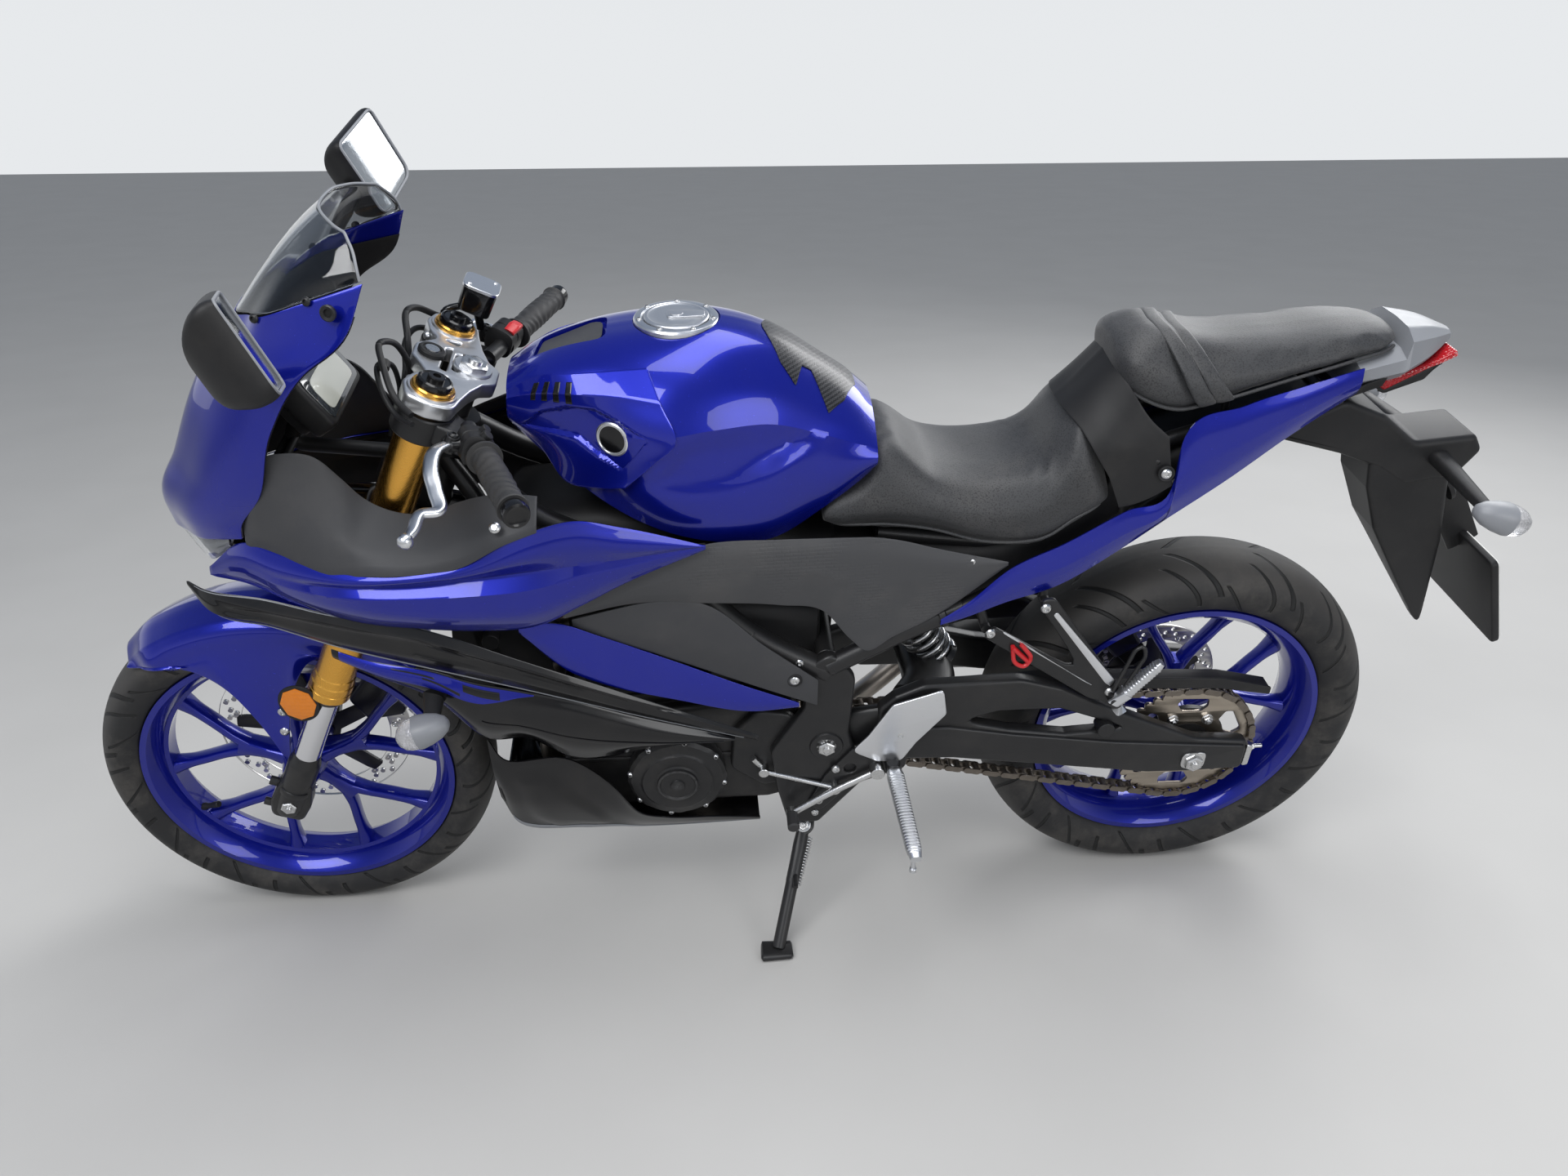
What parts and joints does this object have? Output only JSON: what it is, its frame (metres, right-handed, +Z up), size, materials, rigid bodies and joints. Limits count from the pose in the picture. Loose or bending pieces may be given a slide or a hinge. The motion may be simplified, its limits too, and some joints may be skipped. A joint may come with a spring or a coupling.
{
  "type": "sport motorcycle",
  "caption": "Faired sport motorcycle on its side stand: tubular frame, upside-down fork, disc brakes, chain drive, split seats and mirrors.",
  "frame": {"origin": "on the floor, under the middle of the bounding box, with the motorcycle parked on its side stand", "axes": "+X towards the front wheel, +Y towards the rider's left, to which the motorcycle leans, +Z up"},
  "size_m": [2.132, 0.8312, 1.2185],
  "materials": {
    "blue_paint": "metallic deep blue, clear coated",
    "blue_wheel": "metallic blue, satin",
    "satin_black": "satin black",
    "gloss_black": "gloss black",
    "black_plastic": "fine grained matte",
    "grey_plastic": "dark grey matte",
    "engine_black": "cast, painted satin black",
    "caliper_black": "satin",
    "chain_steel": "oiled",
    "disc_steel": "ground",
    "steel": "bright",
    "aluminium": "satin anodised",
    "gold_anodised": "gold anodised",
    "seat_vinyl": "grained vinyl",
    "tyre": "matte",
    "clear_screen": "lightly smoked",
    "lamp_glass": "clear lens",
    "red_lens": "red lens",
    "plate_white": "blank, satin white"
  },
  "bodies": {
    "chassis": {"main_frame": "satin_black", "subframe": "satin_black", "engine": "engine_black", "radiator": "satin_black", "exhaust": "satin_black", "swingarm": "satin_black", "chain": "chain_steel", "chain_guard": "black_plastic", "pivot_bolt": "steel", "rear_axle": "steel", "shock_absorber": "satin_black", "fuel_tank": "blue_paint", "tank_covers": "blue_paint", "rider_seat": "seat_vinyl", "passenger_seat": "seat_vinyl", "tail_top": "grey_plastic", "side_fairings": "blue_paint", "air_fins": "gloss_black", "lower_fairings": "gloss_black", "side_strips": "blue_paint", "mid_panels": "grey_plastic", "frame_covers": "grey_plastic", "tail_sides": "blue_paint", "seat_covers": "black_plastic", "cockpit_panels": "black_plastic", "upper_cowl": "blue_paint", "windscreen": "clear_screen", "headlights": "lamp_glass", "nose_duct": "black_plastic", "belly_pan": "gloss_black", "instrument_panel": "black_plastic", "mirrors": "black_plastic", "indicators": "grey_plastic", "tail_lamp": "red_lens", "plate_holder": "black_plastic", "number_plate": "plate_white", "filler_ring": "aluminium", "rider_footrests": "aluminium", "passenger_footrests": "aluminium", "rear_caliper": "caliper_black", "stand_bracket": "satin_black"},
    "fork": {"fork_legs": "gold_anodised", "upper_clamp": "aluminium", "lower_clamp": "satin_black", "stem_nut": "steel", "ignition_lock": "black_plastic", "handlebars": "satin_black", "brake_reservoir": "black_plastic", "front_fender": "blue_paint", "front_caliper": "caliper_black", "front_axle": "steel"},
    "front_wheel": {"front_rim": "blue_wheel", "front_tyre": "tyre", "front_disc": "disc_steel"},
    "rear_wheel": {"rear_rim": "blue_wheel", "rear_tyre": "tyre", "rear_disc": "disc_steel", "rear_sprocket": "chain_steel"},
    "side_stand": {"side_stand": "satin_black"},
    "fuel_cap": {"fuel_cap": "aluminium"}
  },
  "joints": [
    {"name": "steering", "type": "hinge", "parent": "chassis", "child": "fork", "pos_m": [0.53374, -0.02789, 0.70647], "axis": [-0.4224, 0.1729, 0.8898], "range_deg": [-34, 34]},
    {"name": "front_wheel_spin", "type": "hinge", "parent": "fork", "child": "front_wheel", "pos_m": [0.77404, -0.10925, 0.28789], "axis": [0, 0.9816, -0.1908], "continuous": true},
    {"name": "rear_wheel_spin", "type": "hinge", "parent": "chassis", "child": "rear_wheel", "pos_m": [-0.60596, -0.10543, 0.30787], "axis": [0, 0.9816, -0.1908], "continuous": true},
    {"name": "side_stand_fold", "type": "hinge", "parent": "chassis", "child": "side_stand", "pos_m": [-0.00211, -0.02307, 0.16539], "axis": [0.1814, 0.7574, 0.6273], "range_deg": [0, 100]},
    {"name": "fuel_cap_hinge", "type": "hinge", "parent": "chassis", "child": "fuel_cap", "pos_m": [0.21013, 0.02762, 0.99214], "axis": [0, 0.9816, -0.1908], "range_deg": [0, 95]}
  ]
}
